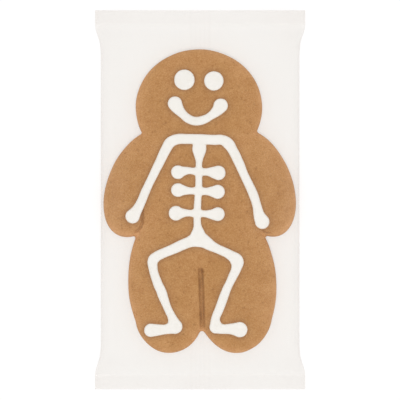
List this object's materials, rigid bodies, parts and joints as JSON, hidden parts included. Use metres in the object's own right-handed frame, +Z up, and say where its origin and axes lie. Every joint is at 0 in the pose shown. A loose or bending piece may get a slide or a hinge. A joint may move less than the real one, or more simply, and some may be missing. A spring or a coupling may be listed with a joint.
{
  "type": "wrapped gingerbread man",
  "caption": "Flat gingerbread man biscuit with piped white skeleton icing, sealed in a clear flow-wrap film with crimped ends.",
  "frame": {"origin": "middle of the wrapper's flat underside, which lies on the surface", "axes": "+Y from the feet to the head along the wrapper's length, +Z up out of the iced side, +X across the wrapper to the right of the iced side as seen with the head up"},
  "size_m": [0.0946, 0.1704, 0.0094],
  "materials": {
    "clear_film": "thin clear polypropylene film with a slight haze",
    "gingerbread": "baked gingerbread, matt, finely pored, a little darker in the middle",
    "icing": "set white royal icing, smooth and slightly satin"
  },
  "bodies": {
    "root": {"film_wrapper": "clear_film"}
  },
  "joints": []
}
